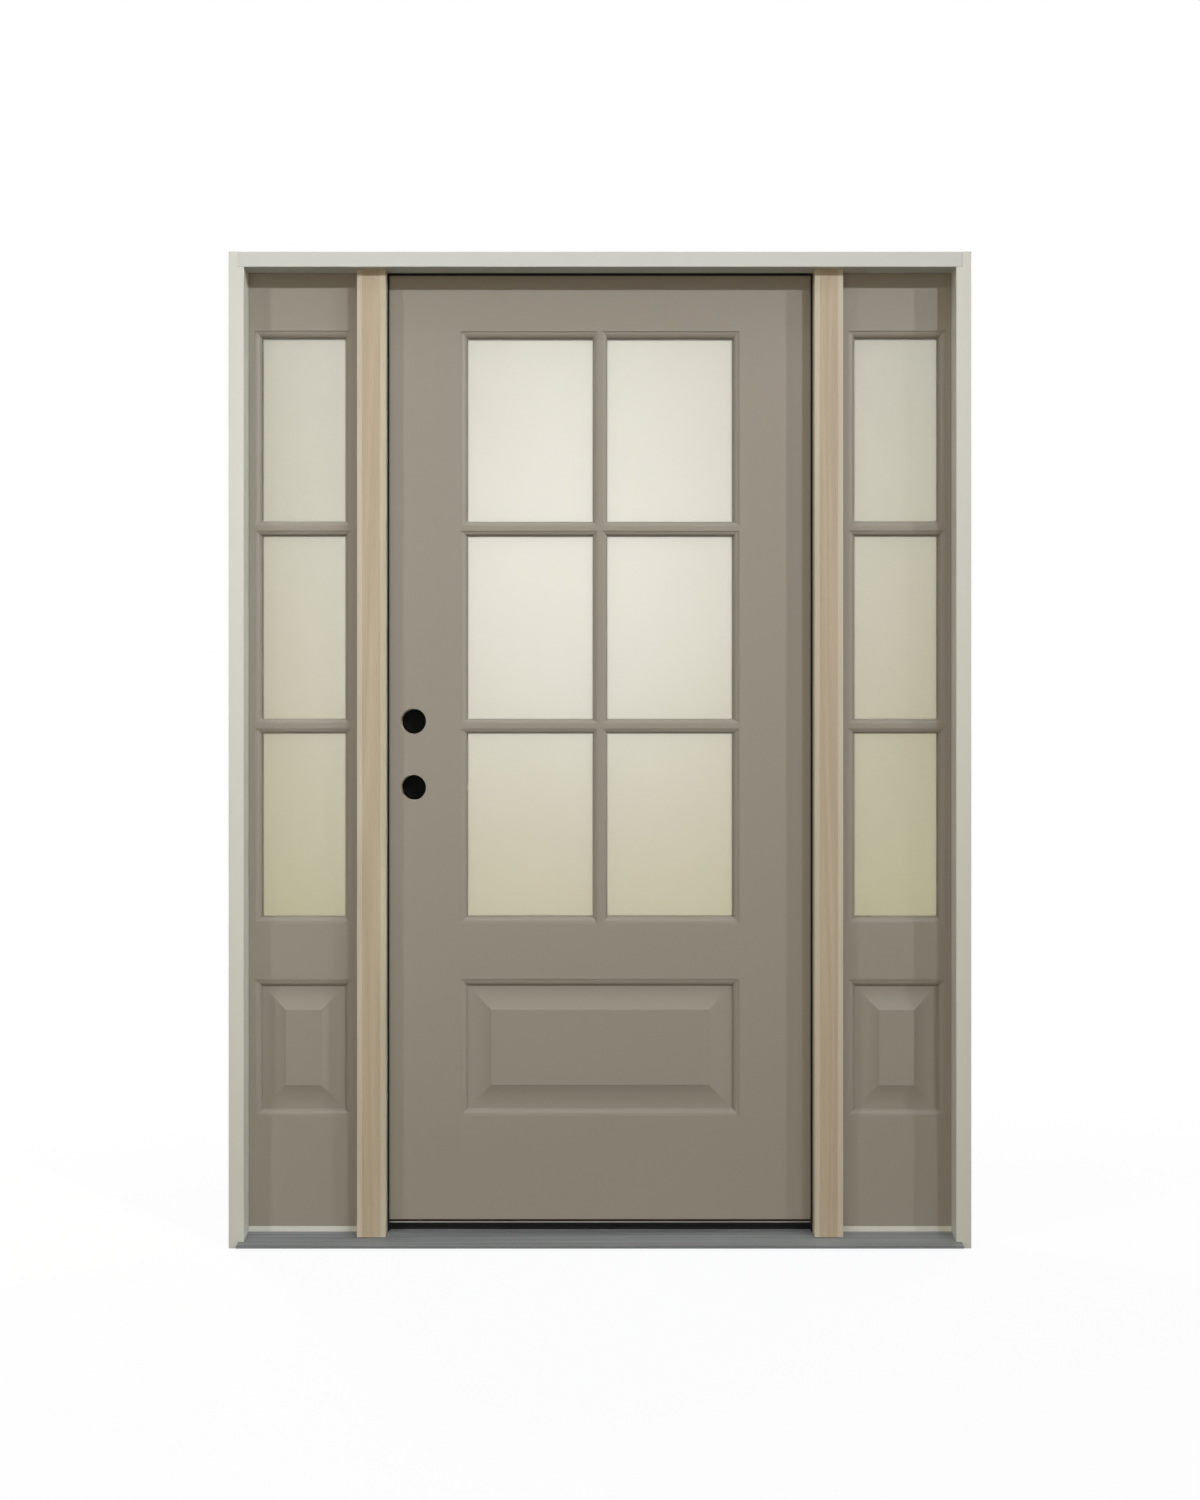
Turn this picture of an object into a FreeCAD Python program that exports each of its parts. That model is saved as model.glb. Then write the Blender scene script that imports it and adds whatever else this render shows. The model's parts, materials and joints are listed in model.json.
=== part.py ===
import FreeCAD, Part
import math
import os
import Sketcher
from FreeCAD import Vector

# Entry door with two sidelights, seen from outside along +Y.
# X runs to the right, Y runs inwards through the wall, Z runs up.
# The origin is under the sill, in the middle of the doorway and of the jamb's depth.

doc = FreeCAD.newDocument("entry_door")
sheet = doc.addObject("Spreadsheet::Sheet", "Sizes")

# Every size below is in millimetres and is written once.
sizes = {
    # frame
    "frame_height": 2070.0,
    "door_opening": 917.6,
    "side_width": 254.0,
    "jamb_depth": 115.9,
    "jamb_leg": 19.05,
    "stop_part": 12.7,
    "stop_depth": 65.1,
    "post_core": 38.1,
    "post_depth": 88.9,
    "post_stop": 11.1,
    "head_joint": 0.6,
    "ease": 1.6,
    # sill
    "sill_nose": 27.0,
    "nose_height": 8.5,
    "nose_under": 5.5,
    "sill_back": 28.7,
    "sill_joint": 1.2,
    "deck_skin": 2.0,
    "flute_deep": 0.6,
    "flute_margin": 6.0,
    "cap_front": 78.0,
    "cap_top": 41.0,
    "cap_plate": 3.0,
    "dam_front": 79.5,
    "dam_back": 84.0,
    "dam_notch": 1.5,
    # door leaf and sidelights
    "door_gap": 5.0,
    "slab_thick": 44.45,
    "slab_bottom": 46.2,
    "side_gap": 0.7,
    "side_bottom": 33.0,
    # stiles, rails and bars, measured to their sight lines; lites and panels fill what is left
    "door_stile": 174.3,
    "side_stile": 39.5,
    "top_rail": 142.75,
    "middle_rail": 146.6,
    "bottom_rail": 232.4,
    "panel_height": 259.0,
    "bar_width": 30.8,
    # moulding on the inner edges of stiles, rails and bars
    "stick_wide": 14.0,
    "stick_slim": 10.0,
    "stick_drop": 9.2,
    "quirk": 2.3,
    "glaze_setback": 13.0,
    "groove_deep": 10.0,
    # panes and raised panels
    "pane_sheet": 3.0,
    "pane_play": 2.0,
    "panel_play": 1.5,
    "ramp_width": 50.0,
    "ramp_rise": 11.0,
    "field_step": 0.9,
    # lock bores
    "bore_radius": 26.99,
    "bore_backset": 60.3,
    "bore_height": 956.0,
    "bore_spacing": 139.7,
    "latch_radius": 12.7,
    # seals
    "seal_reach": 4.8,
    "seal_gap": 0.4,
    "sweep_gap": 0.5,
    "sweep_plate": 3.0,
    "sweep_fin": 2.0,
    "sweep_inset": 3.5,
    # hinges
    "hinge_tall": 101.6,
    "hinge_leaf": 34.0,
    "leaf_thick": 2.4,
    "knuckle_radius": 6.35,
    "knuckle_play": 0.3,
    "leaf_relief": 0.9,
    "pin_radius": 3.0,
    "pin_play": 0.06,
    "pin_offset": 8.0,
    "pin_head": 3.0,
    "pin_cap_radius": 4.6,
    "top_hinge_drop": 228.6,
    "low_hinge_rise": 330.2,
}

# Counts and proportions that aren't lengths.
LITE_ROWS = 3
FLUTES = 12
KNUCKLES = 5
SEAL_BULGE = 1.02


# A size with its number and with the words that bind it to the sheet.
class Dim:
    def __init__(self, text, value):
        self.text = text
        self.value = value

    def __add__(self, other):
        return mix(self, other, "+", self.value + number(other))

    def __radd__(self, other):
        return mix(other, self, "+", number(other) + self.value)

    def __sub__(self, other):
        return mix(self, other, "-", self.value - number(other))

    def __rsub__(self, other):
        return mix(other, self, "-", number(other) - self.value)

    def __mul__(self, other):
        return mix(self, other, "*", self.value * number(other))

    def __rmul__(self, other):
        return mix(other, self, "*", number(other) * self.value)

    def __truediv__(self, other):
        return mix(self, other, "/", self.value / number(other))

    def __neg__(self):
        return 0 - self


def number(value):
    return value.value if isinstance(value, Dim) else float(value)


def words(value):
    return value.text if isinstance(value, Dim) else f"{value:g}"


def mix(left, right, sign, value):
    return Dim(f"({words(left)} {sign} {words(right)})", value)


for row, (name, value) in enumerate(sizes.items(), start=1):
    sheet.set(f"A{row}", name)
    sheet.set(f"B{row}", f"{value:g}")
    sheet.setAlias(f"B{row}", name)
doc.recompute()
S = {name: Dim(f"Sizes.{name}", value) for name, value in sizes.items()}


def bind(thing, prop, value):
    thing.setExpression(prop, words(value))


# Solids made from boxes, cylinders and drawn sections.
def box(name, low, high):
    made = doc.addObject("Part::Box", name)
    for axis, prop, a, b in zip("xyz", ("Length", "Width", "Height"), low, high):
        bind(made, prop, b - a)
        bind(made, f"Placement.Base.{axis}", a)
    return made


def rod(name, base, radius, length, along="z"):
    made = doc.addObject("Part::Cylinder", name)
    turn = {"z": (0, 0, 0), "y": (0, 0, -90), "x": (0, 90, 0)}[along]
    made.Placement.Rotation = FreeCAD.Rotation(*turn)
    bind(made, "Radius", radius)
    bind(made, "Height", length)
    for axis, at in zip("xyz", base):
        bind(made, f"Placement.Base.{axis}", at)
    return made


def arc_between(p0, p1, radius, turn):
    step = p1 - p0
    half = step.Length / 2
    left = Vector(-step.y, step.x, 0) / step.Length
    rise = math.sqrt(max(radius * radius - half * half, 0))
    centre = (p0 + p1) / 2 + left * (rise * turn)
    first, last = (p0, p1) if turn > 0 else (p1, p0)
    a0 = math.atan2(first.y - centre.y, first.x - centre.x)
    a1 = math.atan2(last.y - centre.y, last.x - centre.x)
    while a1 < a0:
        a1 += 2 * math.pi
    circle = Part.Circle(centre, Vector(0, 0, 1), radius)
    return Part.ArcOfCircle(circle, a0, a1)


# A closed section drawn on a plane of its own body and padded along the plane's normal.
# Corners are (across, depth); on XY across is X, on YZ across is Z and depth is Y.
def section(name, plane, start, length, corners, arcs=None):
    body = doc.addObject("PartDesign::Body", name)
    sketch = body.newObject("Sketcher::SketchObject", f"{name}_section")
    origin = [f for f in body.Origin.OriginFeatures if f.Role == f"{plane}_Plane"][0]
    sketch.AttachmentSupport = [(origin, "")]
    sketch.MapMode = "FlatFace"
    bind(sketch, "AttachmentOffset.Base.z", start)
    flip = plane == "YZ"
    pairs = [(v, a) if flip else (a, v) for a, v in corners]
    spots = [Vector(number(x), number(y), 0) for x, y in pairs]
    ends = []
    for i, spot in enumerate(spots):
        after = spots[(i + 1) % len(spots)]
        if arcs and i in arcs:
            radius, turn = arcs[i]
            turn = -turn if flip else turn
            geo = sketch.addGeometry(arc_between(spot, after, number(radius), turn))
            ends.append((geo, 1, 2) if turn > 0 else (geo, 2, 1))
        else:
            geo = sketch.addGeometry(Part.LineSegment(spot, after))
            ends.append((geo, 1, 2))
    rules, bound = [], []
    for i, (geo, first, last) in enumerate(ends):
        after = ends[(i + 1) % len(ends)]
        rules.append(Sketcher.Constraint("Coincident", geo, last, after[0], after[1]))
    for (geo, first, last), (x, y) in zip(ends, pairs):
        for kind, value in (("DistanceX", x), ("DistanceY", y)):
            bound.append((len(rules), value))
            rules.append(Sketcher.Constraint(kind, -1, 1, geo, first, number(value)))
    for i, (radius, turn) in (arcs or {}).items():
        bound.append((len(rules), radius))
        rules.append(Sketcher.Constraint("Radius", ends[i][0], number(radius)))
    sketch.addConstraint(rules)
    for index, value in bound:
        bind(sketch, f"Constraints[{index}]", value)
    pad = body.newObject("PartDesign::Pad", f"{name}_pad")
    pad.Profile = sketch
    bind(pad, "Length", length)
    body.Tip = pad
    return body


# Square corners of a section that are rounded off, each given by its place in the list.
def toward(corner, other, reach):
    steps = [number(o) - number(c) for c, o in zip(corner, other)]
    return tuple(c if s == 0 else c + math.copysign(1, s) * reach for c, s in zip(corner, steps))


def eased(corners, where, radius):
    spots = [(number(a), number(v)) for a, v in corners]
    after = spots[1:] + spots[:1]
    area = sum(a[0] * b[1] - b[0] * a[1] for a, b in zip(spots, after))
    turn = math.copysign(1, area)
    points, arcs = [], {}
    for i, corner in enumerate(corners):
        if i in where:
            arcs[len(points)] = (radius, turn)
            points.append(toward(corner, corners[i - 1], radius))
            points.append(toward(corner, corners[(i + 1) % len(corners)], radius))
        else:
            points.append(corner)
    return points, arcs


def group(name, pieces):
    made = doc.addObject("Part::Compound", name)
    made.Links = pieces
    return made


def cut(name, base, tools):
    made = doc.addObject("Part::Cut", name)
    made.Base = base
    made.Tool = tools[0] if len(tools) == 1 else group(f"{name}_tools", tools)
    return made


def join(name, pieces):
    made = doc.addObject("Part::MultiFuse", name)
    made.Shapes = pieces
    made.Refine = True
    return made


def mirror(name, source):
    made = doc.addObject("Part::Mirroring", name)
    made.Source = source
    made.Normal = Vector(1, 0, 0)
    made.Base = Vector(0, 0, 0)
    return made


nodes = {}


def keep(name, thing):
    thing.Label = name
    nodes[name] = thing
    return thing


# Planes of the frame, from the outside in.
front = -S["jamb_depth"] / 2
inside = S["jamb_depth"] / 2
stop_back = front + S["stop_depth"]
post_front = inside - S["post_depth"]
door_face = inside - S["slab_thick"]

# Upright lines of the frame, from the middle outwards.
core_in = S["door_opening"] / 2
core_out = core_in + S["post_core"]
leg_in = core_out + S["side_width"] + 2 * S["side_gap"]
edge = leg_in + S["jamb_leg"]
jamb_stop = leg_in - S["stop_part"]
stop_in = core_in - S["post_stop"]
stop_out = core_out + S["post_stop"]
head_rabbet = S["frame_height"] - S["jamb_leg"]
head_stop = head_rabbet - S["stop_part"]

# Sill: a solid core under a thin sloped deck, which overhangs it with a turned-down nose.
nose = front - S["sill_nose"]
slope = (S["sill_back"] - S["nose_height"]) / (S["sill_nose"] + S["jamb_depth"])


def deck_at(depth):
    return S["nose_height"] + slope * (depth - nose)


nose_in = nose + S["deck_skin"]
under_nose = deck_at(nose_in) - S["deck_skin"]
under_front = deck_at(front) - S["deck_skin"]
under_back = S["sill_back"] - S["deck_skin"]
sill_core = section(
    "sill_core_solid", "YZ", -leg_in, 2 * leg_in,
    [(0, front), (under_front, front), (under_back, inside), (0, inside)],
)

# Fine flutes run along the part of the deck that shows in front of the stops.
flute_first = nose + S["flute_margin"]
flute_pitch = (stop_back - S["flute_margin"] - flute_first) / FLUTES
flutes = []
for i in range(FLUTES):
    groove = flute_first + i * flute_pitch
    groove_mid = groove + flute_pitch / 4
    groove_end = groove + flute_pitch / 2
    flutes.append((deck_at(groove), groove))
    flutes.append((deck_at(groove_mid) - S["flute_deep"], groove_mid))
    flutes.append((deck_at(groove_end), groove_end))
sill_deck = section(
    "sill_deck_solid", "YZ", -leg_in, 2 * leg_in,
    [
        (S["nose_under"], nose),
        (S["nose_height"] - S["ease"], nose),
        (deck_at(nose + S["ease"]), nose + S["ease"]),
        *flutes,
        (S["sill_back"], inside),
        (under_back, inside),
        (under_nose, nose_in),
        (S["nose_under"], nose_in),
    ],
    {1: (S["ease"], 1)},
)
keep("sill_core", sill_core)
keep("sill_deck", sill_deck)

# Room that jambs, posts and stops leave for the sill, with a thin open joint above the deck.
sill_room = section(
    "sill_room", "YZ", -leg_in, 2 * leg_in,
    [
        (0, nose),
        (S["nose_height"] + S["sill_joint"], nose),
        (S["sill_back"] + S["sill_joint"], inside),
        (0, inside),
    ],
)

# Threshold cap between the posts, with a black dam tucked under its front lip.
cap_y = front + S["cap_front"]
dam_y = front + S["dam_front"]
dam_in = front + S["dam_back"]
lip = S["cap_top"] - S["cap_plate"]
cap_corners = [
    (lip, cap_y),
    (S["cap_top"], cap_y),
    (S["cap_top"], inside),
    (S["sill_back"], inside),
    (deck_at(dam_in), dam_in),
    (lip, dam_in),
]
cap = section("threshold_cap_solid", "YZ", -core_in, 2 * core_in, *eased(cap_corners, [1], S["ease"]))
keep("threshold_cap", cap)
dam_mid = (deck_at(dam_y) + lip) / 2
dam = section(
    "threshold_dam_solid", "YZ", -core_in, 2 * core_in,
    [
        (deck_at(dam_y), dam_y),
        (dam_mid - S["dam_notch"], dam_y),
        (dam_mid, dam_y + S["dam_notch"]),
        (dam_mid + S["dam_notch"], dam_y),
        (lip, dam_y),
        (lip, dam_in),
        (deck_at(dam_in), dam_in),
    ],
)
keep("threshold_dam", dam)

# Head jamb: a rabbeted length housed between the legs of the side jambs, with a fine joint at its ends.
head_half = leg_in - S["head_joint"]
head_corners = [
    (head_stop, front),
    (S["frame_height"], front),
    (S["frame_height"], inside),
    (head_rabbet, inside),
    (head_rabbet, stop_back),
    (head_stop, stop_back),
]
head = section(
    "head_jamb_solid", "YZ", -head_half, 2 * head_half, *eased(head_corners, [0, 1, 5], S["ease"])
)
head_room = section("head_room", "YZ", -leg_in, 2 * leg_in, head_corners)
keep("head_jamb", head)

# Side jambs: rabbeted in one piece, with the stop cut away for the head and over the sill.
jamb_corners = [
    (-edge, front),
    (-jamb_stop, front),
    (-jamb_stop, stop_back),
    (-leg_in, stop_back),
    (-leg_in, inside),
    (-edge, inside),
]
jamb_bar = section(
    "side_jamb_bar", "XY", 0, S["frame_height"], *eased(jamb_corners, [0, 1, 2], S["ease"])
)
left_jamb = cut("left_jamb_cut", jamb_bar, [head_room, sill_room])
keep("left_jamb", left_jamb)
keep("right_jamb", mirror("right_jamb_solid", left_jamb))

# Mullion posts: a core that reaches into the head's rabbet, and a stop strip on both sides.
post_bar = box("post_bar", (-core_out, post_front, 0), (-core_in, inside, head_rabbet))
left_post = cut("left_post_cut", post_bar, [head_room, sill_room])
keep("left_post", left_post)


# A strip lies against the core, and its free corner at the front is rounded.
def post_strip(name, core, free):
    corners = [(core, post_front), (free, post_front), (free, stop_back), (core, stop_back)]
    bar = section(f"{name}_bar", "XY", 0, head_stop, *eased(corners, [1], S["ease"]))
    return cut(f"{name}_cut", bar, [sill_room])


strip_cuts = [
    post_strip("post_strip_outer", -core_out, -stop_out),
    post_strip("post_strip_inner", -core_in, -stop_in),
]
left_stops = keep("left_post_stops", group("left_post_stops_solid", strip_cuts))
keep("right_post_stops", mirror("right_post_stops_solid", left_stops))

# Weatherstrip: a flat strip behind each stop with a rounded edge that shows past it.
seal_edge = stop_in - S["seal_reach"]
seal_back = door_face - S["seal_gap"]
seal_radius = (seal_back - stop_back) / 2


def seal_corners(line, wall):
    return [
        (line + seal_radius, stop_back),
        (wall, stop_back),
        (wall, seal_back),
        (line + seal_radius, seal_back),
    ]


side_seal = section(
    "side_seal_bar", "XY", 0, head_stop - S["seal_reach"],
    [(-a, v) for a, v in seal_corners(seal_edge, core_in)],
    {3: (seal_radius * SEAL_BULGE, -1)},
)
left_seal = cut("left_seal_cut", side_seal, [sill_core, sill_deck])
keep("left_weatherstrip", left_seal)
keep("right_weatherstrip", mirror("right_seal_solid", left_seal))
top_line = head_stop - S["seal_reach"]
top_seal = section(
    "top_seal_solid", "YZ", -core_in, 2 * core_in,
    [
        (top_line + seal_radius, stop_back),
        (head_rabbet, stop_back),
        (head_rabbet, seal_back),
        (top_line + seal_radius, seal_back),
    ],
    {3: (seal_radius * SEAL_BULGE, 1)},
)
keep("top_weatherstrip", top_seal)

# Moulded edge of a stile, rail or bar, listed from the outer face to the inner face.
# The moulding drops by a small quirk, then a quarter round, to a groove for panes and panels.
drop = S["stick_drop"]
land = S["quirk"] + drop


def moulded(sight, way, width, face):
    back = face + S["slab_thick"]
    line = sight - way * width
    floor = sight - way * S["groove_deep"]
    corners = [
        (line, face),
        (line, face + S["quirk"]),
        (sight, face + land),
        (sight, face + S["glaze_setback"]),
        (floor, face + S["glaze_setback"]),
        (floor, back - S["glaze_setback"]),
        (sight, back - S["glaze_setback"]),
        (sight, back - land),
        (line, back - S["quirk"]),
        (line, back),
    ]
    radius = (width * width + drop * drop) / (2 * drop)
    return corners, {1: (radius, way), 7: (radius, way)}


# A stile or an outer rail has one moulded edge, and a middle rail or a bar has two.
def one_edge(name, plane, start, length, outer, sight, way, face):
    corners, arcs = moulded(sight, way, S["stick_wide"], face)
    back = face + S["slab_thick"]
    corners = corners + [(outer, back), (outer, face)]
    return section(name, plane, start, length, corners, arcs)


def two_edges(name, plane, start, length, low, high, width, face):
    up, up_arcs = moulded(high, 1, width, face)
    down, down_arcs = moulded(low, -1, width, face)
    arcs = dict(up_arcs)
    for index, (radius, way) in down_arcs.items():
        arcs[len(up) + (8 - index)] = (radius, 1)
    return section(name, plane, start, length, up + down[::-1], arcs)


# A raised panel: the common solid of a section across it and a section up it, so that its
# hollow ramps meet in mitres.
tongue_in = S["glaze_setback"]
ramp_radius = (S["ramp_width"] * S["ramp_width"] + S["ramp_rise"] * S["ramp_rise"]) / (
    2 * S["ramp_rise"]
)
field_depth = tongue_in - S["ramp_rise"] - S["field_step"]


def ramp_profile(low, high, face):
    back = face + S["slab_thick"]
    tongue = S["groove_deep"] - S["panel_play"]
    f0 = low + S["ramp_width"]
    f1 = high - S["ramp_width"]
    top = face + tongue_in
    crest = top - S["ramp_rise"]
    field = face + field_depth
    under = back - tongue_in
    under_crest = under + S["ramp_rise"]
    under_field = back - field_depth
    corners = [
        (low - tongue, top),
        (low, top),
        (f0, crest),
        (f0, field),
        (f1, field),
        (f1, crest),
        (high, top),
        (high + tongue, top),
        (high + tongue, under),
        (high, under),
        (f1, under_crest),
        (f1, under_field),
        (f0, under_field),
        (f0, under_crest),
        (low, under),
        (low - tongue, under),
    ]
    arcs = {i: (ramp_radius, -1) for i in (1, 5, 9, 13)}
    return corners, arcs


def raised_panel(name, x0, x1, z0, z1, face):
    tongue = S["groove_deep"] - S["panel_play"]
    across, across_arcs = ramp_profile(x0, x1, face)
    upward, upward_arcs = ramp_profile(z0, z1, face)
    wide = section(
        f"{name}_across", "XY", z0 - tongue, z1 - z0 + 2 * tongue, across, across_arcs
    )
    tall = section(
        f"{name}_upward", "YZ", x0 - tongue, x1 - x0 + 2 * tongue, upward, upward_arcs
    )
    made = doc.addObject("Part::MultiCommon", f"{name}_solid")
    made.Shapes = [wide, tall]
    return made


# Heights of the lites and the panel, shared by the door and the sidelights.
slab_top = head_rabbet - S["door_gap"]
panel_base = S["slab_bottom"] + S["bottom_rail"]
panel_top = panel_base + S["panel_height"]
lite_base = panel_top + S["middle_rail"]
lite_top = slab_top - S["top_rail"]
lite_height = (lite_top - lite_base - (LITE_ROWS - 1) * S["bar_width"]) / LITE_ROWS
lite_rows = [lite_base + i * (lite_height + S["bar_width"]) for i in range(LITE_ROWS)]
bar_rows = [low + lite_height for low in lite_rows[:-1]]
wide = S["stick_wide"]


# A sealed unit is two thin sheets held by the groove's two walls.
def panes(name, columns, width, face):
    hidden = S["groove_deep"] - S["pane_play"]
    sheets = []
    near = face + S["glaze_setback"]
    far = face + S["slab_thick"] - S["glaze_setback"]
    for c, x0 in enumerate(columns):
        for r, z0 in enumerate(lite_rows):
            for side, y0 in (("outer", near), ("inner", far - S["pane_sheet"])):
                low = (x0 - hidden, y0, z0 - hidden)
                high = (
                    x0 + width + hidden,
                    y0 + S["pane_sheet"],
                    z0 + lite_height + hidden,
                )
                sheets.append(box(f"{name}_{c}_{r}_{side}", low, high))
    return group(f"{name}_solid", sheets)


# Door leaf.
slab_half = core_in - S["door_gap"]
slab_tall = slab_top - S["slab_bottom"]
door_sight = slab_half - S["door_stile"]
lite_width = door_sight - S["bar_width"] / 2

stile_bar = one_edge(
    "lock_stile_bar", "XY", S["slab_bottom"], slab_tall, -slab_half, -door_sight, 1, door_face
)
hinge_stile_bar = one_edge(
    "hinge_stile_bar", "XY", S["slab_bottom"], slab_tall, slab_half, door_sight, -1, door_face
)

# Lock bores right through the face, each met by a smaller bore from the leaf's edge.
bore_x = S["bore_backset"] - slab_half
mid_slab = door_face + S["slab_thick"] / 2
bores = []
for label, z in (("low", S["bore_height"]), ("high", S["bore_height"] + S["bore_spacing"])):
    bores.append(
        rod(f"face_bore_{label}", (bore_x, door_face, z), S["bore_radius"], S["slab_thick"], "y")
    )
    bores.append(
        rod(f"edge_bore_{label}", (-slab_half, mid_slab, z), S["latch_radius"], S["bore_backset"], "x")
    )
lock_stile = cut("lock_stile_cut", stile_bar, [join("lock_bores", bores)])
keep("lock_stile", lock_stile)

# Hinges: five knuckles on a loose pin, with both leaves let in flush.
pin_x = core_in - S["door_gap"] / 2
pin_y = inside + S["pin_offset"]
hinge_levels = {
    "top": slab_top - S["top_hinge_drop"],
    "middle": (slab_top - S["top_hinge_drop"] + S["slab_bottom"] + S["low_hinge_rise"]) / 2,
    "low": S["slab_bottom"] + S["low_hinge_rise"],
}
leaf_y = inside - S["hinge_leaf"]
leaf_end = pin_y - S["knuckle_radius"] - S["leaf_relief"]
knuckle = S["hinge_tall"] / KNUCKLES
door_leaves, frame_leaves, pins = [], [], []
for label, level in hinge_levels.items():
    base = level - S["hinge_tall"] / 2
    for side, x0, turns, bin_ in (
        ("door", slab_half - S["leaf_thick"], range(1, KNUCKLES, 2), door_leaves),
        ("frame", core_in, range(0, KNUCKLES, 2), frame_leaves),
    ):
        x1 = x0 + S["leaf_thick"]
        stem = f"{label}_{side}"
        solids = [box(f"{stem}_leaf", (x0, leaf_y, base), (x1, leaf_end, base + S["hinge_tall"]))]
        for i in turns:
            z0 = base + i * knuckle + S["knuckle_play"] / 2
            z1 = base + (i + 1) * knuckle - S["knuckle_play"] / 2
            solids.append(box(f"{stem}_tab_{i}", (x0, leaf_end, z0), (x1, pin_y, z1)))
            solids.append(
                rod(f"{stem}_barrel_{i}", (pin_x, pin_y, z0), S["knuckle_radius"], z1 - z0)
            )
        whole = join(f"{stem}_whole", solids)
        hole = rod(
            f"{stem}_hole", (pin_x, pin_y, base), S["pin_radius"] + S["pin_play"], S["hinge_tall"]
        )
        bin_.append(cut(f"{stem}_bored", whole, [hole]))
    pin = rod(f"{label}_pin_rod", (pin_x, pin_y, base), S["pin_radius"], S["hinge_tall"])
    top = base + S["hinge_tall"] - S["knuckle_play"] / 2
    head_disc = rod(f"{label}_pin_head", (pin_x, pin_y, top), S["pin_cap_radius"], S["pin_head"])
    pins.append(join(f"{label}_pin", [pin, head_disc]))
hinge_door = keep("hinge_door_leaves", group("hinge_door_solid", door_leaves))
hinge_frame = keep("hinge_frame_leaves", group("hinge_frame_solid", frame_leaves))
keep("hinge_pins", group("hinge_pins_solid", pins))
hinge_stile = keep("hinge_stile", cut("hinge_stile_cut", hinge_stile_bar, [hinge_door]))
right_post_plain = mirror("right_post_plain", left_post)
keep("right_post", cut("right_post_cut", right_post_plain, [hinge_frame]))

# Rails reach to the stiles' moulding and are coped over it.
shoulder = door_sight + wide
stiles = [stile_bar, hinge_stile_bar]
top_rail_bar = one_edge(
    "top_rail_bar", "YZ", -shoulder, 2 * shoulder, slab_top, lite_top, -1, door_face
)
middle_rail_bar = two_edges(
    "middle_rail_bar", "YZ", -shoulder, 2 * shoulder, panel_top, lite_base, wide, door_face
)
bottom_rail_bar = one_edge(
    "bottom_rail_bar", "YZ", -shoulder, 2 * shoulder, S["slab_bottom"], panel_base, 1, door_face
)
keep("top_rail", cut("top_rail_cut", top_rail_bar, stiles))
keep("middle_rail", cut("middle_rail_cut", middle_rail_bar, stiles))
keep("bottom_rail", cut("bottom_rail_cut", bottom_rail_bar, stiles))

# Glazing bars: one upright coped over the rails, and cross bars coped over it and the stiles.
slim = S["stick_slim"]
bar_half = S["bar_width"] / 2
upright_bar = two_edges(
    "upright_bar_plain", "XY", lite_base - wide, lite_top - lite_base + 2 * wide,
    -bar_half, bar_half, slim, door_face,
)
upright = cut("upright_bar_cut", upright_bar, [top_rail_bar, middle_rail_bar])
keep("upright_bar", upright)
cross = []
for i, low in enumerate(bar_rows):
    bar = two_edges(
        f"cross_bar_{i}_plain", "YZ", -shoulder, 2 * shoulder,
        low, low + S["bar_width"], slim, door_face,
    )
    cross.append(cut(f"cross_bar_{i}_cut", bar, stiles + [upright_bar]))
keep("cross_bars", group("cross_bars_solid", cross))
keep("door_panes", panes("door_pane", [-door_sight, bar_half], lite_width, door_face))
keep(
    "door_panel",
    raised_panel("door_panel", -door_sight, door_sight, panel_base, panel_top, door_face),
)

# Bottom sweep: a plate under the leaf with three fins that stop just above the cap.
sweep_y = door_face + S["sweep_inset"]
sweep_in = inside - S["sweep_inset"]
fin_top = S["slab_bottom"] - S["sweep_plate"]
fin_tip = S["cap_top"] + S["sweep_gap"]
fin_mid = (sweep_y + sweep_in) / 2
fin = S["sweep_fin"]
sweep = section(
    "door_sweep_solid", "YZ", -slab_half, 2 * slab_half,
    [
        (S["slab_bottom"], sweep_y),
        (fin_tip, sweep_y),
        (fin_tip, sweep_y + fin),
        (fin_top, sweep_y + fin),
        (fin_top, fin_mid - fin / 2),
        (fin_tip, fin_mid - fin / 2),
        (fin_tip, fin_mid + fin / 2),
        (fin_top, fin_mid + fin / 2),
        (fin_top, sweep_in - fin),
        (fin_tip, sweep_in - fin),
        (fin_tip, sweep_in),
        (S["slab_bottom"], sweep_in),
    ],
)
keep("door_sweep", sweep)

# Left sidelight, fixed in its rabbet against the stops; the right one is its mirror image.
face = stop_back
x_out = -(leg_in - S["side_gap"])
x_in = -(core_out + S["side_gap"])
s_out = x_out + S["side_stile"]
s_in = x_in - S["side_stile"]
side_lite = s_in - s_out
side_top = head_rabbet - S["side_gap"]
side_tall = side_top - S["side_bottom"]
side_stiles = [
    one_edge("side_stile_outer", "XY", S["side_bottom"], side_tall, x_out, s_out, 1, face),
    one_edge("side_stile_inner", "XY", S["side_bottom"], side_tall, x_in, s_in, -1, face),
]
reach = side_lite + 2 * wide
begin = s_out - wide
side_rails = [
    one_edge("side_rail_top", "YZ", begin, reach, side_top, lite_top, -1, face),
    two_edges("side_rail_middle", "YZ", begin, reach, panel_top, lite_base, wide, face),
    one_edge("side_rail_low", "YZ", begin, reach, S["side_bottom"], panel_base, 1, face),
]
side_bars = []
for i, low in enumerate(bar_rows):
    side_bars.append(
        two_edges(f"side_bar_{i}", "YZ", begin, reach, low, low + S["bar_width"], slim, face)
    )
side_deep = face + S["slab_thick"]
base_strip = section(
    "base_strip_solid", "YZ", -leg_in, leg_in - core_out,
    [
        (deck_at(face), face),
        (S["side_bottom"], face),
        (S["side_bottom"], side_deep),
        (deck_at(side_deep), side_deep),
    ],
)
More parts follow.
